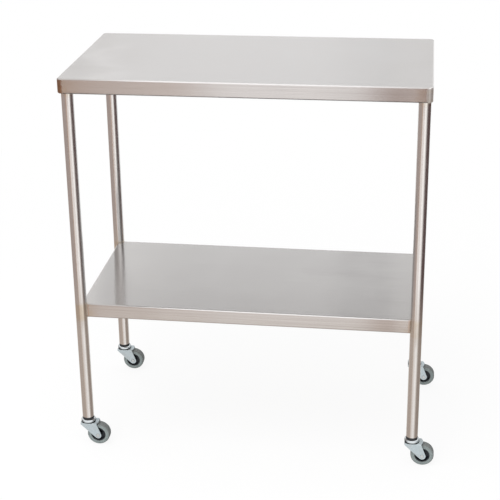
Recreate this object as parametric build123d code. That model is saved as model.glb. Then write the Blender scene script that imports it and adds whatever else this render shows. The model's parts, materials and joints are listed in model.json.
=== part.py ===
from build123d import *
import math
import os

# Stainless steel work table with a lower shelf, on four swivel casters.
#
# Millimetres, +Z up. The origin is on the floor, under the middle of the table.
# +X runs along the table's length and +Y towards its rear. At rest every caster
# trails towards +X. Each piece is written to its own STEP file in parts/.

# ---------------------------------------------------------------- driving dimensions

# Whole table
TOP_LENGTH = 762.0
TOP_DEPTH = 406.4
TABLE_HEIGHT = 863.6

# Folded sheet: both shelves and their stiffeners
SHEET = 1.2
APRON_DEPTH = 31.75
BEND_RADIUS = 3.0
RETURN_LIP = 9.5
TOP_CORNER_RADIUS = 9.5
LOWER_SHELF_HEIGHT = 348.0

# Hat channel stiffener, spot welded under each shelf
STIFFENER_CROWN = 32.0
STIFFENER_FLANGE = 16.0
STIFFENER_DROP = 15.0
STIFFENER_BEND = 2.0
STIFFENER_END_GAP = 45.0

# Legs
LEG_DIAMETER = 25.4
LEG_WALL = 1.65
LEG_BOTTOM = 68.3
LEG_INSET_X = 15.9
LEG_INSET_Y = 22.2
WELD_GAP = 0.1

# Caster layout, measured from the floor and from the swivel axis
WHEEL_DIAMETER = 50.8
WHEEL_WIDTH = 20.0
CASTER_TRAIL = 23.5

# Fork, pressed from one plate
FORK_PLATE = 2.0
FORK_WIDTH = 29.0
FORK_BEND = 3.5
CROWN_TOP = 55.2
CROWN_LEADING_EDGE = -15.7
CROWN_SHOULDER = 20.5
CROWN_NOSE = 25.0
CROWN_SKIRT = 3.2
CROWN_EDGE_ROUNDING = 1.6
CHEEK_TIP_RADIUS = 7.8

# Swivel race
BALL_DIAMETER = 5.56
BALL_COUNT = 12
BALL_CIRCLE_RADIUS = 11.2
RACE_GROOVE_DEPTH = 0.3
RACE_CLEARANCE = 0.02
CUP_RADIUS = 16.0
CUP_WALL = 2.0
CUP_SKIRT_GAP = 1.2
CUP_SHOULDER_RADIUS = 3.0
KINGPIN_RADIUS = 5.0
KINGPIN_HEAD_RADIUS = 7.5
KINGPIN_HEAD_HEIGHT = 2.4
SWIVEL_PLAY = 0.05
KINGPIN_END_PLAY = 0.2

# Expanding mount inside the leg
STEM_RADIUS = 4.0
SLEEVE_LENGTH = 38.0
WASHER_RADIUS = 10.2
WASHER_THICKNESS = 1.6
NUT_ACROSS_FLATS = 13.0
NUT_HEIGHT = 6.5
NUT_CHAMFER = 0.8
STEM_PAST_NUT = 3.0
STEM_CHAMFER = 0.8

# Wheel
AXLE_RADIUS = 3.0
AXLE_PLAY = 0.05
AXLE_HEAD_RADIUS = 4.2
AXLE_HEAD_HEIGHT = 1.3
AXLE_HEAD_RIM = 0.2
BUSH_RADIUS = 4.5
BUSH_END_PLAY = 0.3
HUB_RADIUS = 16.4
HUB_RIM_WIDTH = 17.6
HUB_RIM_WALL = 1.8
HUB_WEB = 5.0
HUB_BOSS_RADIUS = 7.4
HUB_BOSS_END_PLAY = 0.8
TREAD_ROUNDING = 4.0
TYRE_INNER_ROUNDING = 1.0
TYRE_RING_RADIUS = 20.4
TYRE_RING_WIDTH = 1.0

# ---------------------------------------------------------------- worked out from them

LEG_RADIUS = LEG_DIAMETER / 2
LEG_BORE_RADIUS = LEG_RADIUS - LEG_WALL
LEG_X = TOP_LENGTH / 2 - LEG_INSET_X
LEG_Y = TOP_DEPTH / 2 - LEG_INSET_Y
LEG_TOP = TABLE_HEIGHT - SHEET
CORNERS = {
    "front_left": (-LEG_X, -LEG_Y),
    "front_right": (LEG_X, -LEG_Y),
    "rear_left": (-LEG_X, LEG_Y),
    "rear_right": (LEG_X, LEG_Y),
}

AXLE_HEIGHT = WHEEL_DIAMETER / 2
CROWN_UNDERSIDE = CROWN_TOP - FORK_PLATE
CROWN_SKIRT_BOTTOM = CROWN_TOP - CROWN_SKIRT
BALL_RADIUS = BALL_DIAMETER / 2
BALL_CENTRE_HEIGHT = CROWN_TOP - RACE_GROOVE_DEPTH + RACE_CLEARANCE + BALL_RADIUS
CUP_CEILING = BALL_CENTRE_HEIGHT + BALL_RADIUS + RACE_CLEARANCE
CUP_TOP = CUP_CEILING + CUP_WALL
CUP_BOTTOM = CROWN_TOP + CUP_SKIRT_GAP
SLEEVE_TOP = LEG_BOTTOM + SLEEVE_LENGTH
NUT_BOTTOM = SLEEVE_TOP + WASHER_THICKNESS
STEM_TOP = NUT_BOTTOM + NUT_HEIGHT + STEM_PAST_NUT
FORK_INSIDE = FORK_WIDTH / 2 - FORK_PLATE


# ---------------------------------------------------------------- helpers


def upright(radius, bottom, top):
    """A vertical cylinder on the local Z axis."""
    return Pos(0, 0, bottom) * Cylinder(
        radius, top - bottom, align=(Align.CENTER, Align.CENTER, Align.MIN)
    )


def turned(*radius_height_points):
    """A body of revolution about the local Z axis, from (radius, height) points."""
    outline = make_face(Polyline(*radius_height_points, close=True))
    return revolve(Plane.XZ * outline, Axis.Z)


def pressed_block(length, depth, height, corner_radius, bend_radius):
    """A block with its top and bottom edges rounded, and its upright corners too if they have a radius."""
    if corner_radius > 0:
        plan = RectangleRounded(length, depth, corner_radius)
    else:
        plan = Rectangle(length, depth)
    block = extrude(plan, height)
    ends = block.faces().sort_by(Axis.Z)
    return fillet(ends[0].edges() + ends[-1].edges(), bend_radius)


# ---------------------------------------------------------------- table pieces


def shelf(length, depth, top_z, corner_radius):
    """A pan folded from one sheet: flat top, four aprons, and a lip turned inward below."""
    outside = pressed_block(length, depth, APRON_DEPTH, corner_radius, BEND_RADIUS)
    inside = pressed_block(
        length - 2 * SHEET,
        depth - 2 * SHEET,
        APRON_DEPTH - 2 * SHEET,
        max(corner_radius - SHEET, 0),
        BEND_RADIUS - SHEET,
    )
    mouth = extrude(Rectangle(length - 2 * RETURN_LIP, depth - 2 * RETURN_LIP), 2 * SHEET)
    pan = outside - Pos(0, 0, SHEET) * inside - mouth
    return Pos(0, 0, top_z - APRON_DEPTH) * pan


def leg_clearances(bottom, top):
    """Four cylinders that leave a weld gap round the legs."""
    return [
        Pos(x, y, 0) * upright(LEG_RADIUS + WELD_GAP, bottom, top)
        for x, y in CORNERS.values()
    ]


def top_shelf():
    """The work surface. Its lower lip is notched where the legs pass up inside it."""
    lip_bottom = TABLE_HEIGHT - APRON_DEPTH
    pan = shelf(TOP_LENGTH, TOP_DEPTH, TABLE_HEIGHT, TOP_CORNER_RADIUS)
    return pan - leg_clearances(lip_bottom - SHEET, lip_bottom + 2 * SHEET)


def lower_shelf():
    """The lower shelf. Its square corners stand on the leg axes and are notched round the tubes."""
    pan = shelf(2 * LEG_X, 2 * LEG_Y, LOWER_SHELF_HEIGHT, 0)
    bottom = LOWER_SHELF_HEIGHT - APRON_DEPTH
    return pan - leg_clearances(bottom - SHEET, LOWER_SHELF_HEIGHT + SHEET)


def stiffener(shelf_length, underside_z):
    """A hat channel lying lengthwise against the underside of a shelf."""
    half_crown = STIFFENER_CROWN / 2
    half_width = half_crown + STIFFENER_FLANGE
    upper = -SHEET / 2
    lower = -STIFFENER_DROP + SHEET / 2
    centre_line = FilletPolyline(
        (-half_width, upper),
        (-half_crown, upper),
        (-half_crown, lower),
        (half_crown, lower),
        (half_crown, upper),
        (half_width, upper),
        radius=STIFFENER_BEND,
    )
    section = Plane.YZ * trace(centre_line, SHEET)
    half_length = shelf_length / 2 - STIFFENER_END_GAP
    return Pos(0, 0, underside_z) * extrude(section, half_length, both=True)


def leg():
    """A round tube from the caster collar up to the underside of the top."""
    tube = upright(LEG_RADIUS, LEG_BOTTOM, LEG_TOP)
    return tube - upright(LEG_BORE_RADIUS, LEG_BOTTOM, LEG_TOP)


# ---------------------------------------------------------------- caster, fixed side
# Every caster piece is drawn about a swivel axis on the local Z axis.


def caster_stem():
    """Kingpin with its head under the fork crown, reduced to a threaded stem above the cup."""
    head_top = CROWN_UNDERSIDE - KINGPIN_END_PLAY
    head_bottom = head_top - KINGPIN_HEAD_HEIGHT
    return turned(
        (0, head_bottom),
        (KINGPIN_HEAD_RADIUS - KINGPIN_HEAD_HEIGHT / 2, head_bottom),
        (KINGPIN_HEAD_RADIUS, head_top - KINGPIN_HEAD_HEIGHT / 2),
        (KINGPIN_HEAD_RADIUS, head_top),
        (KINGPIN_RADIUS, head_top),
        (KINGPIN_RADIUS, CUP_TOP),
        (STEM_RADIUS, CUP_TOP),
        (STEM_RADIUS, STEM_TOP - STEM_CHAMFER),
        (STEM_RADIUS - STEM_CHAMFER, STEM_TOP),
        (0, STEM_TOP),
    )


def race_cup():
    """Pressed cup that covers the ball race and turns down over it."""
    cup = upright(CUP_RADIUS, CUP_BOTTOM, CUP_TOP)
    cup = fillet(cup.edges().sort_by(Axis.Z)[-1], CUP_SHOULDER_RADIUS)
    cup -= upright(CUP_RADIUS - CUP_WALL, CUP_BOTTOM, CUP_CEILING)
    return cup - upright(KINGPIN_RADIUS, CUP_BOTTOM, CUP_TOP)


def expander_sleeve():
    """Rubber sleeve that grips the inside of the leg, with a collar under the leg's end."""
    sleeve = upright(LEG_RADIUS, CUP_TOP, LEG_BOTTOM)
    sleeve += upright(LEG_BORE_RADIUS, LEG_BOTTOM, SLEEVE_TOP)
    return sleeve - upright(STEM_RADIUS, CUP_TOP, SLEEVE_TOP)


def expander_washer():
    """Washer between the sleeve and its nut."""
    washer = upright(WASHER_RADIUS, SLEEVE_TOP, NUT_BOTTOM)
    return washer - upright(STEM_RADIUS, SLEEVE_TOP, NUT_BOTTOM)


def expander_nut():
    """Hexagon nut that squeezes the sleeve, with its top and bottom corners turned off."""
    hexagon = RegularPolygon(NUT_ACROSS_FLATS / 2, 6, major_radius=False)
    nut = extrude(Pos(0, 0, NUT_BOTTOM) * hexagon, NUT_HEIGHT)
    corner_radius = NUT_ACROSS_FLATS / math.sqrt(3)
    barrel = chamfer(
        upright(corner_radius, NUT_BOTTOM, NUT_BOTTOM + NUT_HEIGHT).edges().filter_by(GeomType.CIRCLE),
        NUT_CHAMFER,
    )
    return (nut & barrel) - upright(STEM_RADIUS, NUT_BOTTOM, NUT_BOTTOM + NUT_HEIGHT)


# ---------------------------------------------------------------- caster, swivelling side


def fork_channel():
    """The bent plate before its outline is cut: an upside-down U along X."""
    bottom = AXLE_HEIGHT - CHEEK_TIP_RADIUS
    outer_height = CROWN_TOP - bottom
    inner_height = CROWN_UNDERSIDE - bottom
    foot = (Align.CENTER, Align.MIN)
    outer = Pos(0, bottom) * Rectangle(FORK_WIDTH, outer_height, align=foot)
    inner = Pos(0, bottom) * Rectangle(2 * FORK_INSIDE, inner_height, align=foot)
    outer = fillet(outer.vertices().group_by(Axis.Y)[-1], FORK_BEND)
    inner = fillet(inner.vertices().group_by(Axis.Y)[-1], FORK_BEND - FORK_PLATE)
    reach = CASTER_TRAIL + CHEEK_TIP_RADIUS
    return extrude(Plane.YZ * (outer - inner), reach, both=True)


def cheek_outline():
    """The cheeks seen from the side: wide under the crown, tapering to a round tip."""
    shoulder = Polyline(
        (CROWN_LEADING_EDGE, CROWN_TOP),
        (CROWN_SHOULDER, CROWN_TOP),
        (CROWN_SHOULDER, CROWN_SKIRT_BOTTOM),
        (CROWN_LEADING_EDGE, CROWN_SKIRT_BOTTOM),
        close=True,
    )
    tip = Pos(CASTER_TRAIL, AXLE_HEIGHT) * Circle(CHEEK_TIP_RADIUS)
    outline = make_hull(shoulder.edges() + tip.edges())
    return extrude(Plane.XZ * outline, FORK_WIDTH, both=True)


def crown_outline():
    """The crown seen from above: square at the front, with a round nose over the wheel."""
    half = FORK_WIDTH / 2
    plan = make_face(
        [
            Line((CROWN_SHOULDER, half), (CROWN_LEADING_EDGE, half)),
            Line((CROWN_LEADING_EDGE, half), (CROWN_LEADING_EDGE, -half)),
            Line((CROWN_LEADING_EDGE, -half), (CROWN_SHOULDER, -half)),
            ThreePointArc((CROWN_SHOULDER, -half), (CROWN_NOSE, 0), (CROWN_SHOULDER, half)),
        ]
    )
    slab = extrude(Pos(0, 0, CROWN_SKIRT_BOTTOM) * plan, CROWN_SKIRT)
    nose_edges = slab.edges().filter_by(GeomType.CIRCLE).sort_by(Axis.Z)
    return fillet(nose_edges[-1], CROWN_EDGE_ROUNDING)


def fork():
    """Crown and two cheeks pressed from one plate."""
    channel = fork_channel()
    body = (channel & crown_outline()) + (channel & cheek_outline())
    groove = Pos(0, 0, BALL_CENTRE_HEIGHT) * Torus(BALL_CIRCLE_RADIUS, BALL_RADIUS + RACE_CLEARANCE)
    body -= groove
    body -= upright(KINGPIN_RADIUS + SWIVEL_PLAY, CROWN_SKIRT_BOTTOM, CROWN_TOP)
    axle_hole = Rot(90, 0, 0) * Cylinder(AXLE_RADIUS + AXLE_PLAY, 2 * FORK_WIDTH)
    return body - Pos(CASTER_TRAIL, 0, AXLE_HEIGHT) * axle_hole


def race_balls():
    """One ring of loose balls."""
    ring = PolarLocations(BALL_CIRCLE_RADIUS, BALL_COUNT)
    ball = Sphere(BALL_RADIUS)
    return Compound([Pos(0, 0, BALL_CENTRE_HEIGHT) * place * ball for place in ring])


def on_axle(shape):
    """Stand a body turned about Z on the wheel axle, which runs along Y."""
    return Pos(CASTER_TRAIL, 0, AXLE_HEIGHT) * Rot(90, 0, 0) * shape


def axle_rivet():
    """Wheel axle riveted over both cheeks."""
    half_width = FORK_WIDTH / 2
    rivet = upright(AXLE_RADIUS, -half_width, half_width)
    for side in (-1, 1):
        low = min(side * half_width, side * (half_width + AXLE_HEAD_HEIGHT))
        head = upright(AXLE_HEAD_RADIUS, low, low + AXLE_HEAD_HEIGHT)
        rim = head.edges().filter_by(GeomType.CIRCLE).sort_by(Axis.Z)[-1 if side > 0 else 0]
        rivet += fillet(rim, AXLE_HEAD_HEIGHT - AXLE_HEAD_RIM)
    return on_axle(rivet)


# ---------------------------------------------------------------- caster, spinning side


def wheel_bush():
    """Steel tube pressed into the hub; it runs on the axle between the cheeks."""
    half_length = FORK_INSIDE - BUSH_END_PLAY
    tube = upright(BUSH_RADIUS, -half_length, half_length)
    return on_axle(tube - upright(AXLE_RADIUS + AXLE_PLAY, -half_length, half_length))


def wheel_hub():
    """Moulded hub: a boss, a web and a rim under the tyre."""
    half_boss = FORK_INSIDE - HUB_BOSS_END_PLAY
    half_rim = HUB_RIM_WIDTH / 2
    rim_inside = HUB_RADIUS - HUB_RIM_WALL
    hub = upright(HUB_RADIUS, -half_rim, half_rim)
    for side in (-1, 1):
        dish_low = min(side * HUB_WEB / 2, side * half_rim)
        dish = upright(rim_inside, dish_low, dish_low + half_rim - HUB_WEB / 2)
        hub -= dish
    hub += upright(HUB_BOSS_RADIUS, -half_boss, half_boss)
    return on_axle(hub - upright(BUSH_RADIUS, -half_boss, half_boss))


def tyre():
    """Tread ring with a rounded shoulder and a shallow ring moulded in each side."""
    half_width = WHEEL_WIDTH / 2
    band = AXLE_HEIGHT - HUB_RADIUS
    section = Pos(HUB_RADIUS + band / 2, 0) * Rectangle(band, WHEEL_WIDTH)
    section = fillet(section.vertices().group_by(Axis.X)[-1], TREAD_ROUNDING)
    section = fillet(section.vertices().group_by(Axis.X)[0], TYRE_INNER_ROUNDING)
    ring = revolve(Plane.XZ * section, Axis.Z)
    for side in (-1, 1):
        ring -= Pos(0, 0, side * half_width) * Torus(TYRE_RING_RADIUS, TYRE_RING_WIDTH / 2)
    return on_axle(ring)


# ---------------------------------------------------------------- assembly

TABLE_PIECES = {
    "top_shelf": top_shelf,
    "lower_shelf": lower_shelf,
    "top_stiffener": lambda: stiffener(TOP_LENGTH, TABLE_HEIGHT - SHEET),
    "lower_shelf_stiffener": lambda: stiffener(2 * LEG_X, LOWER_SHELF_HEIGHT - SHEET),
}

CORNER_PIECES = {
    "leg": leg,
    "caster_stem": caster_stem,
    "race_cup": race_cup,
    "expander_sleeve": expander_sleeve,
    "expander_washer": expander_washer,
    "expander_nut": expander_nut,
    "fork": fork,
    "race_balls": race_balls,
    "axle_rivet": axle_rivet,
    "tyre": tyre,
    "wheel_hub": wheel_hub,
    "wheel_bush": wheel_bush,
}


def main():
    os.makedirs("parts", exist_ok=True)
    for name, build in TABLE_PIECES.items():
        export_step(build(), f"parts/{name}.step")
    for piece, build in CORNER_PIECES.items():
        shape = build()
        for corner, (x, y) in CORNERS.items():
            export_step(Pos(x, y, 0) * shape, f"parts/{corner}_{piece}.step")


main()
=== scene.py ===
import json
import math
import random

import bmesh
import bpy
from mathutils import Matrix, Vector


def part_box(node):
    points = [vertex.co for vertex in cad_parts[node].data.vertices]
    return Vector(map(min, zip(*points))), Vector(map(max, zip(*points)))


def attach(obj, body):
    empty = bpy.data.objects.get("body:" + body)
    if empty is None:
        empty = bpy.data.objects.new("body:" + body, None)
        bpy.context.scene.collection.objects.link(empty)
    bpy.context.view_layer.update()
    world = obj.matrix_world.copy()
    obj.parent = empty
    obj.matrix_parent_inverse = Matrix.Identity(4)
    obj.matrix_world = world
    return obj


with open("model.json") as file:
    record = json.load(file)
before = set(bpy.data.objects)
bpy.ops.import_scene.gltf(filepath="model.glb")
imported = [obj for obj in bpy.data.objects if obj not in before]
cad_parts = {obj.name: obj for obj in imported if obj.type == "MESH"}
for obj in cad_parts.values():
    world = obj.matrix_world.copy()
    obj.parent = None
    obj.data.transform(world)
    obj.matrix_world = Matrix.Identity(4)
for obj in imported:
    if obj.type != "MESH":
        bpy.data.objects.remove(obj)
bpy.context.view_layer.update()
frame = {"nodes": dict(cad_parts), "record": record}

# Looks of the stainless work table: brushed sheet, polished tube, welds, casters, and the studio round it.
# Metres, +Z up, in the part's own frame: +X along the table, +Y to its rear.

random.seed(7)

NODES = frame["nodes"]
SLOT_OF = {part["node"]: part["material_slot"] for part in frame["record"]["subparts"]}
CORNERS = ("front_left", "front_right", "rear_left", "rear_right")

TOP_LOW, TOP_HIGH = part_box("top_shelf")
TOP_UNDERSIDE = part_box("top_stiffener")[1].z
SHELF_LOW, SHELF_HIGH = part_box("lower_shelf")


def middle(node):
    """Centre of a CAD node's box."""
    low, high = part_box(node)
    return (low + high) / 2


def radius_of(node):
    """Half the width of a round CAD node."""
    low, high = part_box(node)
    return (high.x - low.x) / 2


LEG_CENTRE = {corner: middle(f"{corner}_leg") for corner in CORNERS}
LEG_RADIUS = radius_of("front_left_leg")
CUP_RADIUS = radius_of("front_left_race_cup")
LEG_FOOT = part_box("front_left_leg")[0].z
CUP_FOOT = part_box("front_left_race_cup")[0].z
CROWN_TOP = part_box("front_left_fork")[1].z


# ---------------------------------------------------------------- helpers


class Shader:
    """A node tree with short calls for the nodes used here."""

    def __init__(self, owner):
        self.tree = owner.node_tree
        self.tree.nodes.clear()

    def node(self, kind, inputs=None, **settings):
        made = self.tree.nodes.new(kind)
        for key, value in settings.items():
            setattr(made, key, value)
        for key, value in (inputs or {}).items():
            self.feed(value, made.inputs[key])
        return made

    def feed(self, value, socket):
        if isinstance(value, bpy.types.NodeSocket):
            self.tree.links.new(value, socket)
        else:
            socket.default_value = value

    def math(self, operation, *values):
        return self.node("ShaderNodeMath", dict(enumerate(values)), operation=operation).outputs[0]

    def product(self, *values):
        """Several numbers multiplied together."""
        result = values[0]
        for value in values[1:]:
            result = self.math("MULTIPLY", result, value)
        return result

    def vector_math(self, operation, *values):
        made = self.node("ShaderNodeVectorMath", dict(enumerate(values)), operation=operation)
        return made.outputs["Value" if operation in ("LENGTH", "DISTANCE") else "Vector"]

    def scaled(self, colour, factor):
        """A colour times a number."""
        made = self.node("ShaderNodeVectorMath", {0: colour}, operation="SCALE")
        self.feed(factor, made.inputs["Scale"])
        return made.outputs["Vector"]

    def split(self, vector):
        return self.node("ShaderNodeSeparateXYZ", {0: vector}).outputs

    def noise(self, vector, scale, detail, roughness=0.5, distortion=0.0):
        inputs = {
            "Vector": vector,
            "Scale": scale,
            "Detail": detail,
            "Roughness": roughness,
            "Distortion": distortion,
        }
        return self.node("ShaderNodeTexNoise", inputs).outputs["Fac"]

    def drawn_noise(self, vector, cycles, detail, roughness):
        """Noise with its own number of cycles along X, Y and Z."""
        return self.noise(self.vector_math("MULTIPLY", vector, cycles), 1.0, detail, roughness)

    def range(self, value, low, high, to_low=0.0, to_high=1.0):
        """A smooth step from to_low, where value is low, to to_high, where it is high."""
        inputs = {"Value": value, 1: low, 2: high, 3: to_low, 4: to_high}
        return self.node("ShaderNodeMapRange", inputs, interpolation_type="SMOOTHSTEP").outputs[0]

    def window(self, value, start, end, soft_start, soft_end):
        """1 between start and end, with smooth flanks of the given widths centred on them."""
        rise = self.range(value, start - soft_start / 2, start + soft_start / 2)
        fall = self.range(value, end - soft_end / 2, end + soft_end / 2, 1.0, 0.0)
        return self.math("MULTIPLY", rise, fall)

    def either(self, amount, first, second):
        """A number that goes from first to second as amount goes from 0 to 1."""
        return self.node("ShaderNodeMix", {0: amount, 2: first, 3: second}).outputs[0]

    def shared(self, first, share, second):
        """The given share of one number, and the rest from another."""
        return self.math("ADD", self.product(first, share), self.product(second, 1.0 - share))

    def swing(self, value, size):
        """A value about 0.5 made into one about 0, times size."""
        return self.product(self.math("SUBTRACT", value, 0.5), size)

    def blend(self, amount, first, second, mode="MIX"):
        """A colour that goes from first to second as amount goes from 0 to 1."""
        made = self.node("ShaderNodeMix", data_type="RGBA", blend_type=mode)
        self.feed(amount, made.inputs[0])
        self.feed(first, made.inputs[6])
        self.feed(second, made.inputs[7])
        return made.outputs[2]

    def ramp(self, value, stops):
        made = self.node("ShaderNodeValToRGB", {0: value})
        elements = made.color_ramp.elements
        while len(elements) < len(stops):
            elements.new(0.5)
        for element, (position, colour) in zip(elements, stops):
            element.position = position
            element.color = (*colour, 1.0)
        return made.outputs[0]

    def bump(self, height, strength, distance, normal=None):
        inputs = {"Height": height, "Strength": strength, "Distance": distance}
        if normal is not None:
            inputs["Normal"] = normal
        return self.node("ShaderNodeBump", inputs).outputs[0]


def material(name):
    made = bpy.data.materials.new(name)
    made.use_nodes = True
    return made, Shader(made)


def add_object(name, data):
    """A new object in the scene."""
    made = bpy.data.objects.new(name, data)
    bpy.context.scene.collection.objects.link(made)
    return made


def finish_surface(shader, **inputs):
    """A Principled surface as the material's output."""
    named = {key.replace("_", " "): value for key, value in inputs.items()}
    surface = shader.node("ShaderNodeBsdfPrincipled", named)
    shader.node("ShaderNodeOutputMaterial", {0: surface.outputs[0]})


# ---------------------------------------------------------------- how the values below are written
#
# A noise is (cycles per metre, detail, roughness), and its distortion where it has one. The cycles are left
# out where a finish gives its own. A drawn noise starts with its cycles along X, Y and Z, and a grain with
# its cycles along and across the brushing.
# A step is (low, high), and what it goes from and to unless that is 0 to 1, as in Shader.range.
# A span is (start, end, softness at the start, softness at the end), as in Shader.window.
# A relief is (strength, depth in metres), as in Shader.bump. Colours are linear red, green and blue.


# ---------------------------------------------------------------- stainless sheet

WHITE = (1.0, 1.0, 1.0, 1.0)
STRAW = (0.93, 0.82, 0.63, 1.0)
BROWN = (0.82, 0.58, 0.44, 1.0)
SCORCH = (0.80, 0.49, 0.33, 1.0)
SHEET_TONES = ((0.15, (0.560, 0.552, 0.552)), (0.85, (0.680, 0.676, 0.680)))

GRAIN = (6.0, 1500.0, 3.0, 0.6)
STREAKS = (1.5, 260.0, 3.0, 0.55)
GRAIN_SHARE = 0.6
GRAIN_ROUGHNESS = 0.07
GRAIN_RELIEF = (0.05, 0.00005)
END_FACE = (0.70, 0.72)
CONTRAST_BY_FLATNESS = (0.2, 0.7, 2.1, 0.8)
SHEET_SMUDGE = (7.0, 4.0, 0.55, 0.6)
SHEET_SMUDGE_ROUGHNESS = (0.3, 0.75, -0.02, 0.03)

TOP_ROUGHNESS = 0.24
SHELF_ROUGHNESS = 0.18
GROUND_CORNER_ROUGHNESS = 0.28

HALO_NOISE = (60.0, 3.0, 0.5, 0.3)
HALO_PATCHES = (0.35, 0.65, 0.2, 1.0)
HALO_REACH = (0.004, 0.030, 1.0, 0.0)
HALO_STRENGTH = 0.35
SEAM_REACH = (0.0015, 0.0060, 1.0, 0.0)
SEAM_STRENGTH = 0.5
HEAT_HEIGHTS = (TOP_HIGH.z - 0.006, TOP_HIGH.z - 0.003, 1.0, 0.0)
HEAT_BY_UPWARDNESS = (0.5, 0.9, 1.0, 0.25)

CORNER_TINTS = {"front_left": 1.0, "front_right": 0.12, "rear_left": 0.55, "rear_right": 0.40}
CORNER_WISPS = (160.0, 3.0, 0.6)
WISP_SIZE = 0.008
CORNER_IN_X = (TOP_HIGH.x - 0.0145, TOP_HIGH.x - 0.0085)
CORNER_IN_Y = (TOP_HIGH.y - 0.0145, TOP_HIGH.y - 0.0085)
CORNER_HEIGHTS = (TOP_HIGH.z - 0.0035, TOP_HIGH.z - 0.0015, 1.0, 0.0)
CENTRE_LINE = (-0.01, 0.01)


def distance_to_leg(s, position):
    """Distance from a point to the nearest leg's surface, seen from above."""
    flat = s.vector_math("MULTIPLY", position, (1.0, 1.0, 0.0))
    nearest = 1.0
    for centre in LEG_CENTRE.values():
        gap = s.vector_math("DISTANCE", flat, (centre.x, centre.y, 0.0))
        nearest = s.math("MINIMUM", nearest, gap)
    return s.math("SUBTRACT", nearest, LEG_RADIUS)


def folded_corners(s, position):
    """Welded and ground upright corners of the top: where they are, and how brown each is left."""
    x, y, z = s.split(position)
    wisps = s.swing(s.noise(position, *CORNER_WISPS), WISP_SIZE)
    near_end = s.range(s.math("ADD", s.math("ABSOLUTE", x), wisps), *CORNER_IN_X)
    near_side = s.range(s.math("ADD", s.math("ABSOLUTE", y), wisps), *CORNER_IN_Y)
    where = s.product(near_end, near_side, s.range(z, *CORNER_HEIGHTS))
    is_right = s.range(x, *CENTRE_LINE)
    is_rear = s.range(y, *CENTRE_LINE)
    front = s.either(is_right, CORNER_TINTS["front_left"], CORNER_TINTS["front_right"])
    rear = s.either(is_right, CORNER_TINTS["rear_left"], CORNER_TINTS["rear_right"])
    return where, s.product(where, s.either(is_rear, front, rear))


def weld_heat(s, position, normal):
    """Straw halo and brown seam round the legs, faint on faces that look up and absent from the top's."""
    gap = distance_to_leg(s, position)
    height = s.split(position)[2]
    upwardness = s.split(normal)[2]
    shown = s.product(s.range(height, *HEAT_HEIGHTS), s.range(upwardness, *HEAT_BY_UPWARDNESS))
    patches = s.range(s.noise(position, *HALO_NOISE), *HALO_PATCHES)
    halo = s.product(s.range(gap, *HALO_REACH), patches, shown, HALO_STRENGTH)
    seam = s.product(s.range(gap, *SEAM_REACH), shown, SEAM_STRENGTH)
    return halo, seam


def along_grain(s, position, is_end, along, across, detail, roughness):
    """Noise drawn out along X, or along Y on the folded ends."""
    lengthways = s.drawn_noise(position, (along, across, across), detail, roughness)
    crossways = s.drawn_noise(position, (across, along, across), detail, roughness)
    return s.either(is_end, lengthways, crossways)


def brushed_sheet(name, roughness):
    """Sheet with its grain along X, which turns to Y where the ends fold down."""
    made, s = material(name)
    geometry = s.node("ShaderNodeNewGeometry").outputs
    position = geometry["Position"]
    normal = geometry["Normal"]
    is_end = s.range(s.math("ABSOLUTE", s.split(normal)[0]), *END_FACE)
    grain = s.blend(is_end, (1.0, 0.0, 0.0, 1.0), (0.0, 1.0, 0.0, 1.0))
    across_grain = s.vector_math("NORMALIZE", s.vector_math("CROSS_PRODUCT", normal, grain))

    fine = along_grain(s, position, is_end, *GRAIN)
    tone = s.shared(fine, GRAIN_SHARE, along_grain(s, position, is_end, *STREAKS))
    contrast = s.range(s.math("ABSOLUTE", s.split(normal)[2]), *CONTRAST_BY_FLATNESS)
    colour = s.ramp(s.math("ADD", s.swing(tone, contrast), 0.5), SHEET_TONES)

    halo, seam = weld_heat(s, position, normal)
    ground, scorched = folded_corners(s, position)
    colour = s.blend(halo, colour, STRAW, "MULTIPLY")
    colour = s.blend(seam, colour, BROWN, "MULTIPLY")
    colour = s.blend(scorched, colour, SCORCH, "MULTIPLY")

    smudge = s.noise(position, *SHEET_SMUDGE)
    rough = s.math("ADD", roughness, s.swing(tone, GRAIN_ROUGHNESS))
    rough = s.math("ADD", rough, s.range(smudge, *SHEET_SMUDGE_ROUGHNESS))
    rough = s.math("ADD", rough, s.product(ground, GROUND_CORNER_ROUGHNESS))
    finish_surface(
        s,
        Base_Color=colour,
        Metallic=1.0,
        Roughness=rough,
        Anisotropic=1.0,
        Tangent=across_grain,
        Normal=s.bump(fine, *GRAIN_RELIEF),
    )
    return made


# ---------------------------------------------------------------- stainless tube and welds

TUBE_TONES = ((0.25, (0.585, 0.575, 0.570)), (0.75, (0.675, 0.665, 0.660)))
DRAW_LINES = ((700.0, 700.0, 2.5), 3.0, 0.6)
POLISHING_RINGS = ((30.0, 30.0, 1500.0), 2.0, 0.5)
DRAW_LINE_SHARE = 0.5
DRAW_LINE_RELIEF = (0.05, 0.00015)
TUBE_SMUDGE = (22.0, 3.0, 0.5, 0.4)
TUBE_ROUGHNESS = 0.16
TUBE_TONE_ROUGHNESS = 0.06
TUBE_SMUDGE_ROUGHNESS = (0.3, 0.7, -0.02, 0.03)
TUBE_ANISOTROPY = 0.8
HEAT_AT_SHELF = (SHELF_LOW.z - 0.004, SHELF_HIGH.z + 0.004, 0.012, 0.012)
HEAT_AT_TOP = (TOP_LOW.z - 0.014, TOP_LOW.z - 0.002)
TUBE_HEAT_PATCHES = (0.35, 0.65, 0.3, 1.0)
TUBE_HEAT_STRENGTH = 0.55

WELD_TONES = ((0.30, (0.44, 0.37, 0.31)), (0.48, (0.55, 0.51, 0.47)), (0.65, (0.62, 0.60, 0.58)))
WELD_MOTTLE = (420.0, 4.0, 0.6, 0.3)
WELD_PATCHES = (90.0, 2.0, 0.5)
WELD_ROUGHNESS = (0.3, 0.7, 0.30, 0.50)
WELD_RELIEF = (0.35, 0.0003)


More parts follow.
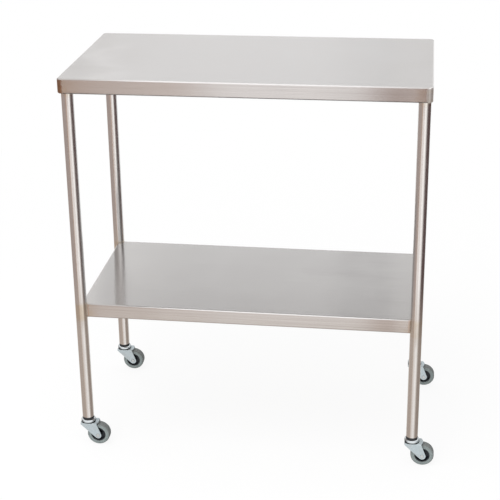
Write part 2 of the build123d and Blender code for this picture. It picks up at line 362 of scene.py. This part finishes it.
def polished_tube(name):
    """Drawn tube, polished round its girth, with faint draw lines and welding tint at the joints."""
    made, s = material(name)
    position = s.node("ShaderNodeNewGeometry").outputs["Position"]
    height = s.split(position)[2]
    draw_lines = s.drawn_noise(position, *DRAW_LINES)
    tone = s.shared(draw_lines, DRAW_LINE_SHARE, s.drawn_noise(position, *POLISHING_RINGS))
    smudge = s.noise(position, *TUBE_SMUDGE)

    at_joints = s.math("ADD", s.window(height, *HEAT_AT_SHELF), s.range(height, *HEAT_AT_TOP))
    heat = s.product(at_joints, s.range(smudge, *TUBE_HEAT_PATCHES), TUBE_HEAT_STRENGTH)
    colour = s.blend(heat, s.ramp(tone, TUBE_TONES), STRAW, "MULTIPLY")

    rough = s.math("ADD", TUBE_ROUGHNESS, s.product(tone, TUBE_TONE_ROUGHNESS))
    rough = s.math("ADD", rough, s.range(smudge, *TUBE_SMUDGE_ROUGHNESS))
    finish_surface(
        s,
        Base_Color=colour,
        Metallic=1.0,
        Roughness=rough,
        Anisotropic=TUBE_ANISOTROPY,
        Tangent=(0.0, 0.0, 1.0),
        Normal=s.bump(draw_lines, *DRAW_LINE_RELIEF),
    )
    return made


def weld_metal(name):
    """Rippled bead, brushed over, with straw and brown oxide left in patches."""
    made, s = material(name)
    position = s.node("ShaderNodeNewGeometry").outputs["Position"]
    mottle = s.noise(position, *WELD_MOTTLE)
    colour = s.ramp(s.noise(position, *WELD_PATCHES), WELD_TONES)
    rough = s.range(mottle, *WELD_ROUGHNESS)
    relief = s.bump(mottle, *WELD_RELIEF)
    finish_surface(s, Base_Color=colour, Metallic=1.0, Roughness=rough, Normal=relief)
    return made


# ---------------------------------------------------------------- plated steel

PLATE_SCRATCHES = ((300.0, 300.0, 2400.0), 2.0, 0.5)
MOTTLE_SHARE = 0.7
PLATE_MOTTLE = (4.0, 0.6, 0.4)
PLATE_TONE_ROUGHNESS = 0.25
PLATE_RELIEF = (0.10, 0.0002)
TINT_COARSENESS = 5
TINT_NOISE = (2.0, 0.5, 0.5)
TINT_PATCHES = (0.45, 0.7, 0.0, 0.35)
# Painted shade: a dark line in the narrow gap between the race cup's foot and the fork's crown.
GAP_SHADE_COLOUR = (0.018, 0.017, 0.016, 1.0)
GAP_SHADE_REACH = (CUP_RADIUS + 0.0002, CUP_RADIUS + 0.0016, 1.0, 0.0)
GAP_SHADE_HEIGHTS = (CROWN_TOP - 0.0010, CUP_FOOT + 0.0010, 0.0012, 0.0012)


def race_gap_shade(s, position):
    """Painted shade: a dark line in the narrow gap between the cup's foot and the fork's crown."""
    from_axis = s.math("ADD", distance_to_leg(s, position), LEG_RADIUS)
    height = s.split(position)[2]
    return s.product(s.range(from_axis, *GAP_SHADE_REACH), s.window(height, *GAP_SHADE_HEIGHTS))


def plated(name, dark, light, roughness, grain_scale, metallic=1.0, tint=None, gap_shaded=False):
    """Plated steel: a mottled tone, soft scratches, patches of another tint, and painted shade in the gap
    under the race cup.
    """
    made, s = material(name)
    position = s.node("ShaderNodeTexCoord").outputs["Object"]
    mottle = s.noise(position, grain_scale, *PLATE_MOTTLE)
    tone = s.shared(mottle, MOTTLE_SHARE, s.drawn_noise(position, *PLATE_SCRATCHES))
    colour = s.ramp(tone, ((0.3, dark), (0.7, light)))
    if tint:
        patches = s.noise(position, grain_scale / TINT_COARSENESS, *TINT_NOISE)
        colour = s.blend(s.range(patches, *TINT_PATCHES), colour, (*tint, 1.0))
    # Painted shade in the gap under the race cup.
    if gap_shaded:
        colour = s.blend(race_gap_shade(s, position), colour, GAP_SHADE_COLOUR)
    rough = s.math("ADD", roughness, s.swing(tone, PLATE_TONE_ROUGHNESS))
    relief = s.bump(tone, *PLATE_RELIEF)
    finish_surface(s, Base_Color=colour, Metallic=metallic, Roughness=rough, Normal=relief)
    return made


# ---------------------------------------------------------------- rubber and plastic

MOULDED_FINE = (3.0, 0.6)
MOULDED_BLOTCH = (3.0, 0.5, 0.3)
BLOTCH_COARSENESS = 12
MOULDED_FINE_SHARE = 0.4
MOULDED_TONE_ROUGHNESS = 0.3
MOULDED_RELIEF_STRENGTH = 0.3

TREAD_TONES = ((0.3, (0.205, 0.245, 0.242)), (0.7, (0.278, 0.318, 0.313)))
TREAD_FINE = (900.0, 3.0, 0.6)
TREAD_BLOTCH = (90.0, 3.0, 0.5, 0.3)
TREAD_ROUGHNESS = 0.55
TREAD_RELIEF = (0.3, 0.0002)
RAYS = ((26.0, 26.0, 26.0), 2.0, 0.6)
RAY_RELIEF = (0.3, 0.0004)

# Places on the tyre's side, as shares of its outer radius, and how the rays show in the darker shoulder
# streaks and in the painted shade of the outer rim.
SHOULDER = (0.84, 0.97, 0.08, 0.03)
# Darker streaks over the shoulder, where the rays run.
SHOULDER_STREAK_TONE = (0.13, 0.135, 0.13, 1.0)
SHOULDER_STREAKS_BY_RAY = (0.42, 0.62, 0.0, 0.55)
# Painted shade: the outer rim of the tyre's side made darker where the rounded tread turns away, broken up
# by the rays.
RIM_SHADE_SPAN = (0.90, 0.97)
RIM_SHADE = (0.135, 0.130, 0.126, 1.0)
RIM_SHADE_BY_RAY = (0.30, 0.60, 0.35, 0.75)
HUB_EDGE = (0.665, 0.72, 0.5, 0.0)
# Darker towards the hub's edge.
HUB_EDGE_TONE = (0.12, 0.125, 0.12, 1.0)


def moulded(name, dark, light, roughness, grain_scale, relief_depth):
    """Moulded rubber or plastic: fine texture and slight blotches."""
    made, s = material(name)
    position = s.node("ShaderNodeTexCoord").outputs["Object"]
    fine = s.noise(position, grain_scale, *MOULDED_FINE)
    blotch = s.noise(position, grain_scale / BLOTCH_COARSENESS, *MOULDED_BLOTCH)
    colour = s.ramp(s.shared(fine, MOULDED_FINE_SHARE, blotch), ((0.3, dark), (0.7, light)))
    rough = s.math("ADD", roughness, s.swing(fine, MOULDED_TONE_ROUGHNESS))
    relief = s.bump(fine, MOULDED_RELIEF_STRENGTH, relief_depth)
    finish_surface(s, Base_Color=colour, Roughness=rough, Normal=relief)
    return made


def tread_rubber(name):
    """Grey non-marking rubber: faint rays over the shoulder, darker streaks there, painted shade round the
    outer rim, and darker towards the hub.
    """
    made, s = material(name)
    coordinates = s.node("ShaderNodeTexCoord").outputs
    centred = s.vector_math("SUBTRACT", coordinates["Generated"], (0.5, 0.5, 0.5))
    from_axle = s.vector_math("MULTIPLY", centred, (2.0, 0.0, 2.0))
    radius = s.vector_math("LENGTH", from_axle)
    rays = s.drawn_noise(s.vector_math("NORMALIZE", from_axle), *RAYS)
    fine = s.noise(coordinates["Object"], *TREAD_FINE)
    blotch = s.noise(coordinates["Object"], *TREAD_BLOTCH)
    colour = s.ramp(s.shared(fine, MOULDED_FINE_SHARE, blotch), TREAD_TONES)

    shoulder = s.window(radius, *SHOULDER)
    streaked = s.product(shoulder, s.range(rays, *SHOULDER_STREAKS_BY_RAY))
    colour = s.blend(streaked, colour, SHOULDER_STREAK_TONE)
    # Painted shade round the outer rim.
    rim_shade = s.product(s.range(radius, *RIM_SHADE_SPAN), s.range(rays, *RIM_SHADE_BY_RAY))
    colour = s.blend(rim_shade, colour, RIM_SHADE)
    colour = s.blend(s.range(radius, *HUB_EDGE), colour, HUB_EDGE_TONE)

    rough = s.math("ADD", TREAD_ROUGHNESS, s.swing(fine, MOULDED_TONE_ROUGHNESS))
    relief = s.bump(fine, *TREAD_RELIEF)
    relief = s.bump(s.product(rays, shoulder), *RAY_RELIEF, relief)
    finish_surface(s, Base_Color=colour, Roughness=rough, Normal=relief)
    return made


# ---------------------------------------------------------------- finishes on the CAD nodes

BRIGHT_PLATE = {
    "dark": (0.66, 0.68, 0.69),
    "light": (0.78, 0.80, 0.81),
    "roughness": 0.22,
    "grain_scale": 260.0,
    # With painted shade in the gap under the race cup.
    "gap_shaded": True,
}
ZINC_PLATE = {
    "dark": (0.455, 0.510, 0.530),
    "light": (0.585, 0.635, 0.655),
    "roughness": 0.40,
    "grain_scale": 320.0,
    "metallic": 0.88,
    "tint": (0.50, 0.49, 0.48),
    # With painted shade in the gap under the race cup.
    "gap_shaded": True,
}
PLATED_STEEL = {
    "dark": (0.50, 0.50, 0.49),
    "light": (0.64, 0.64, 0.63),
    "roughness": 0.40,
    "grain_scale": 380.0,
}
BEARING_STEEL = {
    "dark": (0.05, 0.048, 0.045),
    "light": (0.09, 0.085, 0.08),
    "roughness": 0.30,
    "grain_scale": 300.0,
}
BLACK_HUB = {
    "dark": (0.006, 0.008, 0.012),
    "light": (0.014, 0.017, 0.023),
    "roughness": 0.50,
    "grain_scale": 1100.0,
    "relief_depth": 0.0001,
}
BLACK_RUBBER = {
    "dark": (0.008, 0.008, 0.010),
    "light": (0.020, 0.020, 0.022),
    "roughness": 0.55,
    "grain_scale": 1000.0,
    "relief_depth": 0.0002,
}
FINISHES = {
    "stainless_tube": polished_tube("polished stainless tube"),
    "bright_plate": plated("bright plate", **BRIGHT_PLATE),
    "zinc_plate": plated("zinc plate", **ZINC_PLATE),
    "plated_steel": plated("plated steel", **PLATED_STEEL),
    "bearing_steel": plated("bearing steel", **BEARING_STEEL),
    "grey_tread": tread_rubber("grey tread"),
    "black_hub": moulded("black hub", **BLACK_HUB),
    "black_rubber": moulded("black rubber", **BLACK_RUBBER),
}
TOP_SHEET = brushed_sheet("brushed top sheet", TOP_ROUGHNESS)
SHELF_SHEET = brushed_sheet("brushed shelf sheet", SHELF_ROUGHNESS)
SHEET_OF = {
    "top_shelf": TOP_SHEET,
    "top_stiffener": TOP_SHEET,
    "lower_shelf": SHELF_SHEET,
    "lower_shelf_stiffener": SHELF_SHEET,
}

for node_name, piece in NODES.items():
    piece.data.materials.clear()
    piece.data.materials.append(SHEET_OF.get(node_name) or FINISHES[SLOT_OF[node_name]])


# ---------------------------------------------------------------- weld beads

WELD = weld_metal("weld metal")
BEAD_RADIUS = 0.0010
BEAD_SIDES = 12
BEAD_STEP = 0.0004
BEAD_WANDER = 0.02
END_TAPER = 0.35
END_STEPS = 4.0
NEARLY_UPRIGHT = 0.9
RIPPLE_PITCH = 0.0017
RIPPLE_DEPTH = 0.13

# Arcs round the legs, in degrees.
ARC_STEP = 3.0
SHELF_BEAD_HALF_SWEEP = 36.0
LIP_BEAD_HALF_SWEEP = 58.0
TOP_BEAD_SWEEP = 357.0

SHEET_BEND = 0.003
BEAD_PATH_RADIUS = LEG_RADIUS + 0.25 * BEAD_RADIUS
SHELF_BEAD_HEIGHT = SHELF_HIGH.z + 0.1 * BEAD_RADIUS
TOP_BEAD_HEIGHT = TOP_UNDERSIDE - 0.3 * BEAD_RADIUS


def evenly_spaced(corners, step):
    """Points at equal steps along a chain of straight lines."""
    points = []
    for start, end in zip(corners, corners[1:]):
        count = max(1, round((end - start).length / step))
        points += [start.lerp(end, i / count) for i in range(count)]
    return points + [corners[-1]]


def ring_round(point, along, radius):
    """Points of one bead ring, round a point of its path."""
    reference = Vector((0.0, 0.0, 1.0)) if abs(along.z) < NEARLY_UPRIGHT else Vector((1.0, 0.0, 0.0))
    side = along.cross(reference).normalized()
    upward = side.cross(along)
    angles = [math.tau * k / BEAD_SIDES for k in range(BEAD_SIDES)]
    return [point + radius * (math.cos(a) * side + math.sin(a) * upward) for a in angles]


def bead_rings(path):
    """Rings along a path, swelling with each ripple and tapering to the ends."""
    last = len(path) - 1
    travelled = 0.0
    first_ripple = random.uniform(0.0, math.tau)
    for i, point in enumerate(path):
        if i:
            travelled += (point - path[i - 1]).length
        along = (path[min(i + 1, last)] - path[max(i - 1, 0)]).normalized()
        ripple = abs(math.sin(math.pi * travelled / RIPPLE_PITCH + first_ripple))
        taper = min(1.0, END_TAPER + (1.0 - END_TAPER) * min(i, last - i) / END_STEPS)
        radius = BEAD_RADIUS * taper * (1.0 - RIPPLE_DEPTH * (1.0 - ripple))
        radius *= random.uniform(1.0 - BEAD_WANDER, 1.0 + BEAD_WANDER)
        yield ring_round(point, along, radius)


def weld_bead(name, corners):
    """A rippled bead laid along a chain of lines, closed at both ends, as a piece of the table."""
    mesh = bpy.data.meshes.new(name)
    shape = bmesh.new()
    path = evenly_spaced(corners, BEAD_STEP)
    rings = [[shape.verts.new(point) for point in ring] for ring in bead_rings(path)]
    for near, far in zip(rings, rings[1:]):
        for k in range(BEAD_SIDES):
            beside = (k + 1) % BEAD_SIDES
            shape.faces.new((near[k], near[beside], far[beside], far[k]))
    shape.faces.new(list(reversed(rings[0])))
    shape.faces.new(rings[-1])
    bmesh.ops.recalc_face_normals(shape, faces=shape.faces)
    for face in shape.faces:
        face.smooth = len(face.verts) == 4
    shape.to_mesh(mesh)
    shape.free()
    mesh.materials.append(WELD)
    bead = add_object(name, mesh)
    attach(bead, "table")


def arc(centre, height, start, end):
    """Points round a leg, from one angle to another in degrees from +X."""
    count = max(2, round(abs(end - start) / ARC_STEP))
    angles = [math.radians(start + (end - start) * i / count) for i in range(count + 1)]
    offsets = [(BEAD_PATH_RADIUS * math.cos(a), BEAD_PATH_RADIUS * math.sin(a)) for a in angles]
    return [Vector((centre.x + x, centre.y + y, height)) for x, y in offsets]


def weld_corner(corner, centre):
    """Three beads at one leg: round the lower shelf's notch, outside the top's lip, and under the top.

    The first climbs beside the shelf's long apron, follows the notch, and comes down beside its end apron.
    """
    inward_x = -math.copysign(1.0, centre.x)
    inward_y = -math.copysign(1.0, centre.y)
    foot = SHELF_LOW.z + SHEET_BEND
    head = SHELF_HIGH.z - SHEET_BEND
    beside_x = centre.x + inward_x * BEAD_PATH_RADIUS
    beside_y = centre.y + inward_y * BEAD_PATH_RADIUS
    climb = [Vector((beside_x, centre.y, z)) for z in (foot, head)]
    descent = [Vector((centre.x, beside_y, z)) for z in (head, foot)]
    diagonal = math.degrees(math.atan2(inward_y, inward_x))
    half = SHELF_BEAD_HALF_SWEEP * inward_x * inward_y
    notch = arc(centre, SHELF_BEAD_HEIGHT, diagonal - half, diagonal + half)
    weld_bead(f"{corner}_shelf_weld", climb + notch + descent)
    outward = 180.0 if centre.x < 0 else 0.0
    lip = arc(centre, TOP_LOW.z, outward - LIP_BEAD_HALF_SWEEP, outward + LIP_BEAD_HALF_SWEEP)
    weld_bead(f"{corner}_lip_weld", lip)
    weld_bead(f"{corner}_top_weld", arc(centre, TOP_BEAD_HEIGHT, 0.0, TOP_BEAD_SWEEP))


for corner, centre in LEG_CENTRE.items():
    weld_corner(corner, centre)


# ---------------------------------------------------------------- the room that polished metal mirrors
#
# Turns, and places sideways, are in degrees about the table, from its front towards +X. Rises are in
# degrees above level. Heights and X are in metres, and a height is that of the point that mirrors the room.

DOME_RADIUS = 2.2
DOME_SEGMENTS = 128
DOME_RINGS = 64
STRAIGHTENING = (0.0, 20.0)
UP_TO_TOP = (TOP_LOW.z - 0.05185, TOP_LOW.z - 0.00185)

FRONT_LIGHT = (1.21, 1.14, 1.098, 1.0)
WINDOW_LIGHT = (1.49, 1.46, 1.42, 1.0)
WINDOW_SPAN = (13.0, 44.0, 10.0, 26.0)
LEFT_WALL = (0.53, 0.44, 0.40, 1.0)
LEFT_WALL_EDGE = (-40.0, -28.0, 1.0, 0.0)
LEFT_WOOD = (0.61, 0.42, 0.315, 1.0)
LEFT_WOOD_LEAN = (-19.5, -15.6, -24.0, -10.5)
LEFT_WOOD_EDGE = (-3.5, 2.0, 1.0, 0.0)
DOORWAY = (0.14, 0.095, 0.090, 1.0)
DOORWAY_SPAN = (51.0, 140.0, 28.0, 16.0)
DOORWAY_BY_HEIGHT = (TOP_LOW.z - 0.00585, TOP_LOW.z + 0.00015, 1.0, 0.35)
FIGURE = (0.33, 0.15, 0.08, 1.0)
FIGURE_SPAN = (5.5, 8.1, 4.0, 1.0)
FIGURE_BY_HEIGHT = (*UP_TO_TOP, 0.60, 1.0)
FIGURE_SIDE_SPAN = (9.3, 13.0, 0.8, 3.0)
FIGURE_SIDE_BY_HEIGHT = (*UP_TO_TOP, 0.35, 1.0)

CEILING = (0.84, 0.80, 0.77, 1.0)
CEILING_START = (2.0, 14.0)
CEILING_SHADE = (14.0, 34.0, 0.72, 1.08)
CEILING_PANEL = (1.60, 1.575, 1.56, 1.0)
PANEL_SPAN = (-15.5, 8.5, 6.0, 10.0)
SKYLIGHT_SPAN = (15.0, 42.0, 5.0, 14.0)
CEILING_LEFT = (0.64, 0.59, 0.56, 1.0)
CEILING_LEFT_EDGE = (-42.0, -32.0, 1.0, 0.0)
CEILING_RIGHT = (0.36, 0.33, 0.32, 1.0)
CEILING_RIGHT_EDGE = (34.0, 48.0)
CEILING_CENTRE = (1.12, 1.11, 1.10, 1.0)
CEILING_CENTRE_EDGE = (74.0, 86.0)

BACKDROP = (1.45, 1.449, 1.450)
BACKDROP_FOOT_SHADE = (-2.0, 9.0, 0.70, 1.0)
BACKDROP_LEFT_GLOW = (-0.90, -0.50, 1.20, 1.0)
BACKDROP_RIGHT_SHADE = (-0.15, 0.40, 1.0, 0.95)
BACKDROP_ABOVE = (0.56, 0.542, 0.523)
ABOVE_START = (16.5, 24.4)
ABOVE_LEFT_GLOW = (-0.95, -0.45, 1.32, 0.92)
ABOVE_RIGHT_GLOW = (0.20, 0.42, 1.0, 1.22)
RIGHT_FOLD_SPAN = (0.07, 0.27, 0.10, 0.06)
RIGHT_FOLD_DEPTH = 0.17
LEFT_FOLD_SPAN = (-0.83, -0.755, 0.05, 0.03)
LEFT_FOLD_DEPTH = 0.36
FOLDS_START = (19.0, 24.0)
BACKDROP_EDGE = (130.0, 150.0)
BACKDROP_HEAD = (40.0, 52.0, 1.0, 0.0)

AT_TOP = (TOP_LOW.z - 0.03185, TOP_LOW.z - 0.00185)
FLOOR_SHADE_AT_TOP = (-40.0, -25.0, 0.20, 1.0)
FLOOR_SHADE_BELOW_TOP = (-44.0, -27.0, 0.35, 1.0)
NEAR_FLOOR = (0.69, 0.593, 0.503, 1.0)
NEAR_FLOOR_BY_HEIGHT = (SHELF_LOW.z - 0.03625, SHELF_HIGH.z + 0.112, 0.50, 0.0)
NEAR_FLOOR_BY_RISE = (-8.0, -2.0, 1.0, 0.0)
NEAR_GLARE = (1.18, 1.14, 1.10, 1.0)
GLARE_SPAN = (-6.0, 38.0, 18.0, 20.0)
GLARE_BY_HEIGHT = (SHELF_LOW.z - 0.03625, SHELF_LOW.z - 0.00625, 1.0, 0.0)
LOW_LIGHT = (0.98, 1.02, 1.04, 1.0)
LOW_DARK = (0.16, 0.17, 0.18, 1.0)
LOW_LIGHT_SPAN = (-62.0, 72.0, 40.0, 40.0)
LOW_CEILING_START = (4.0, 20.0)
LOW_ROOM_BY_HEIGHT = (LEG_FOOT - 0.0023, LEG_FOOT + 0.0007, 0.85, 0.0)


class MirroredRay:
    """A ray from the table to the dome: the height that it left, how it rises, and where it arrives."""

    def __init__(self, s):
        geometry = s.node("ShaderNodeNewGeometry").outputs
        self.x, y, z = s.split(geometry["Position"])
        climb = s.product(s.split(geometry["Incoming"])[2], -1.0)
        self.rise = s.math("DEGREES", s.math("ARCSINE", climb))
        travelled = s.node("ShaderNodeLightPath").outputs["Ray Length"]
        self.height = s.math("SUBTRACT", z, s.product(travelled, climb))
        self.around = s.math("DEGREES", s.math("ARCTAN2", self.x, s.product(y, -1.0)))
        self.sideways = s.math("DEGREES", s.math("ARCSINE", s.math("DIVIDE", self.x, DOME_RADIUS)))
        self.turn = s.either(s.range(self.rise, *STRAIGHTENING), self.around, self.sideways)


def walls(s, ray):
    """The sides and front of the room, with a dark figure standing before the table."""
    room = s.blend(s.window(ray.turn, *WINDOW_SPAN), FRONT_LIGHT, WINDOW_LIGHT)
    past_wood = s.math("SUBTRACT", ray.turn, s.range(ray.rise, *LEFT_WOOD_LEAN))
    room = s.blend(s.range(past_wood, *LEFT_WOOD_EDGE), room, LEFT_WOOD)
    room = s.blend(s.range(ray.turn, *LEFT_WALL_EDGE), room, LEFT_WALL)
    doorway = s.product(s.window(ray.turn, *DOORWAY_SPAN), s.range(ray.height, *DOORWAY_BY_HEIGHT))
    room = s.blend(doorway, room, DOORWAY)
    figure = s.product(s.window(ray.turn, *FIGURE_SPAN), s.range(ray.height, *FIGURE_BY_HEIGHT))
    room = s.blend(figure, room, FIGURE)
    side = s.product(s.window(ray.turn, *FIGURE_SIDE_SPAN), s.range(ray.height, *FIGURE_SIDE_BY_HEIGHT))
    return s.blend(side, room, FIGURE)


def ceiling_above(s, ray):
    """The ceiling, with a bright panel before the table and a skylight to its right."""
    ceiling = s.blend(s.window(ray.sideways, *PANEL_SPAN), CEILING, CEILING_PANEL)
    ceiling = s.blend(s.window(ray.sideways, *SKYLIGHT_SPAN), ceiling, WINDOW_LIGHT)
    ceiling = s.blend(s.range(ray.sideways, *CEILING_LEFT_EDGE), ceiling, CEILING_LEFT)
    ceiling = s.blend(s.range(ray.sideways, *CEILING_RIGHT_EDGE), ceiling, CEILING_RIGHT)
    ceiling = s.blend(s.range(ray.rise, *CEILING_CENTRE_EDGE), ceiling, CEILING_CENTRE)
    return s.scaled(ceiling, s.range(ray.rise, *CEILING_SHADE))


def backdrop_behind(s, ray):
    """The lit backdrop behind the table, dimmer and softly folded towards its head."""
    low = s.scaled(BACKDROP, s.range(ray.x, *BACKDROP_RIGHT_SHADE))
    low = s.scaled(low, s.range(ray.x, *BACKDROP_LEFT_GLOW))
    low = s.scaled(low, s.range(ray.rise, *BACKDROP_FOOT_SHADE))
    high = s.scaled(BACKDROP_ABOVE, s.range(ray.x, *ABOVE_LEFT_GLOW))
    high = s.scaled(high, s.range(ray.x, *ABOVE_RIGHT_GLOW))
    right_fold = s.product(s.window(ray.x, *RIGHT_FOLD_SPAN), RIGHT_FOLD_DEPTH)
    left_fold = s.product(s.window(ray.x, *LEFT_FOLD_SPAN), LEFT_FOLD_DEPTH)
    folds = s.product(s.math("ADD", right_fold, left_fold), s.range(ray.rise, *FOLDS_START))
    return s.scaled(s.blend(s.range(ray.rise, *ABOVE_START), low, high), s.math("SUBTRACT", 1.0, folds))


def floor_below(s, ray, room):
    """The room with its floor, darker where it is seen steeply and warm near the lower parts."""
    below_top = s.range(ray.rise, *FLOOR_SHADE_BELOW_TOP)
    at_top = s.range(ray.rise, *FLOOR_SHADE_AT_TOP)
    room = s.scaled(room, s.either(s.range(ray.height, *AT_TOP), below_top, at_top))
    glare = s.product(s.window(ray.turn, *GLARE_SPAN), s.range(ray.height, *GLARE_BY_HEIGHT))
    near_floor = s.blend(glare, NEAR_FLOOR, NEAR_GLARE)
    near = s.product(s.range(ray.height, *NEAR_FLOOR_BY_HEIGHT), s.range(ray.rise, *NEAR_FLOOR_BY_RISE))
    return s.blend(near, room, near_floor)


def mirrored_room(s):
    """All that polished metal sees. The casters, close to the floor, mirror a plainer and neutral room."""
    ray = MirroredRay(s)
    room = s.blend(s.range(ray.rise, *CEILING_START), walls(s, ray), ceiling_above(s, ray))
    behind = s.range(s.math("ABSOLUTE", ray.around), *BACKDROP_EDGE)
    behind = s.product(behind, s.range(ray.rise, *BACKDROP_HEAD))
    room = s.blend(behind, room, backdrop_behind(s, ray))
    room = floor_below(s, ray, room)
    low_room = s.blend(s.window(ray.turn, *LOW_LIGHT_SPAN), LOW_DARK, LOW_LIGHT)
    low_room = s.blend(s.range(ray.rise, *LOW_CEILING_START), low_room, LOW_LIGHT)
    return s.blend(s.range(ray.height, *LOW_ROOM_BY_HEIGHT), room, low_room)


def build_dome():
    """A dome that only mirror reflections see."""
    mesh = bpy.data.meshes.new("mirrored_room")
    shape = bmesh.new()
    bmesh.ops.create_uvsphere(shape, u_segments=DOME_SEGMENTS, v_segments=DOME_RINGS, radius=DOME_RADIUS)
    shape.to_mesh(mesh)
    shape.free()
    dome = add_object("mirrored_room", mesh)
    dome.visible_camera = False
    dome.visible_diffuse = False
    dome.visible_transmission = False
    dome.visible_shadow = False
    made, s = material("mirrored room")
    made.cycles.emission_sampling = "NONE"
    glow = s.node("ShaderNodeEmission", {0: mirrored_room(s), 1: 1.0}).outputs[0]
    s.node("ShaderNodeOutputMaterial", {0: glow})
    mesh.materials.append(made)


# ---------------------------------------------------------------- studio

FLOOR_REACH = 20.0
FLOOR_TONES = ((0.3, (0.90, 0.90, 0.90)), (0.7, (0.93, 0.93, 0.93)))
FLOOR_CLOUDS = (3.0, 3.0, 0.5)
FLOOR_LIFT = (0.5, 2.2, 0.88, 1.0)

SURROUNDINGS = (0.95, 0.95, 0.95, 1.0)
DIM_SIDE = (0.40, 0.38, 0.37, 1.0)
DIM_SIDE_AMOUNT = (0.0, 0.9, 0.0, 0.6)

OVERHEAD = {
    "place": (-0.6, -0.9, 3.0),
    "target": (0.0, 0.0, 0.4),
    "size": 2.2,
    "power": 30.0,
}
FRONT_STRIP = {
    "place": (-0.9, -3.0, 1.6),
    "target": (0.0, -0.2, 0.3),
    "size": 1.4,
    "power": 26.0,
    "colour": (1.0, 0.99, 0.98),
}

LENS_MM = 91.3536
SENSOR_MM = 36.0
LENS_SHIFT = (0.03, -0.08)
CLIP_DISTANCES = (0.05, 100.0)
CAMERA_PLACE = (0.3597, -2.6263, 1.5425)
CAMERA_YAW = math.radians(8.807)
CAMERA_PITCH = math.radians(21.189)
CAMERA_ROLL = math.radians(-0.992)


def build_floor():
    """A wide pale floor that keeps only faint shadows near the table."""
    mesh = bpy.data.meshes.new("studio_floor")
    reach = FLOOR_REACH
    corners = [(-reach, -reach, 0.0), (reach, -reach, 0.0), (reach, reach, 0.0), (-reach, reach, 0.0)]
    mesh.from_pydata(corners, [], [(0, 1, 2, 3)])
    floor = add_object("studio_floor", mesh)
    floor.visible_glossy = False
    made, s = material("studio floor")
    position = s.node("ShaderNodeNewGeometry").outputs["Position"]
    is_camera = s.node("ShaderNodeLightPath").outputs["Is Camera Ray"]
    albedo = s.ramp(s.noise(position, *FLOOR_CLOUDS), FLOOR_TONES)
    matt = s.node("ShaderNodeBsdfDiffuse", {0: albedo}).outputs[0]
    glow = s.node("ShaderNodeEmission", {0: WHITE, 1: 1.0}).outputs[0]
    lift = s.range(s.vector_math("LENGTH", position), *FLOOR_LIFT)
    lifted = s.node("ShaderNodeMixShader", {0: lift, 1: matt, 2: glow}).outputs[0]
    shown = s.node("ShaderNodeMixShader", {0: is_camera, 1: matt, 2: lifted}).outputs[0]
    s.node("ShaderNodeOutputMaterial", {0: shown})
    mesh.materials.append(made)


def build_world():
    """White surroundings for the eye; the soft light they give is dimmer from the right."""
    world = bpy.data.worlds.new("studio")
    world.use_nodes = True
    bpy.context.scene.world = world
    s = Shader(world)
    x = s.split(s.node("ShaderNodeTexCoord").outputs["Generated"])[0]
    soft = s.blend(s.range(x, *DIM_SIDE_AMOUNT), SURROUNDINGS, DIM_SIDE)
    is_camera = s.node("ShaderNodeLightPath").outputs["Is Camera Ray"]
    background = s.node("ShaderNodeBackground", {0: s.blend(is_camera, soft, WHITE), 1: 1.0})
    s.node("ShaderNodeOutputWorld", {0: background.outputs[0]})


def soft_box(name, place, target, size, power, colour=(1.0, 1.0, 1.0)):
    """A square area light facing its target, unseen in reflections."""
    light = bpy.data.lights.new(name, "AREA")
    light.shape = "RECTANGLE"
    light.size = size
    light.size_y = size
    light.energy = power
    light.color = colour
    holder = add_object(name, light)
    holder.visible_glossy = False
    holder.location = place
    holder.rotation_euler = (Vector(target) - Vector(place)).to_track_quat("-Z", "Y").to_euler()


def build_camera():
    """The photograph's viewpoint, from a fit to the table's corners, legs and wheels."""
    view = bpy.data.cameras.new("photo_camera")
    view.sensor_width = SENSOR_MM
    view.lens = LENS_MM
    view.shift_x, view.shift_y = LENS_SHIFT
    view.clip_start, view.clip_end = CLIP_DISTANCES
    holder = add_object("photo_camera", view)
    holder.location = CAMERA_PLACE
    across = Vector((math.cos(CAMERA_YAW), math.sin(CAMERA_YAW), 0.0))
    ahead = Vector((-math.sin(CAMERA_YAW), math.cos(CAMERA_YAW), 0.0))
    forward = math.cos(CAMERA_PITCH) * ahead - Vector((0.0, 0.0, math.sin(CAMERA_PITCH)))
    upward = across.cross(forward)
    right = math.cos(CAMERA_ROLL) * across + math.sin(CAMERA_ROLL) * upward
    up = math.cos(CAMERA_ROLL) * upward - math.sin(CAMERA_ROLL) * across
    holder.rotation_euler = Matrix((right, up, -forward)).transposed().to_euler()
    bpy.context.scene.camera = holder


build_floor()
build_dome()
build_world()
soft_box("overhead", **OVERHEAD)
soft_box("front_strip", **FRONT_STRIP)
build_camera()
bpy.context.scene.view_settings.view_transform = "Standard"
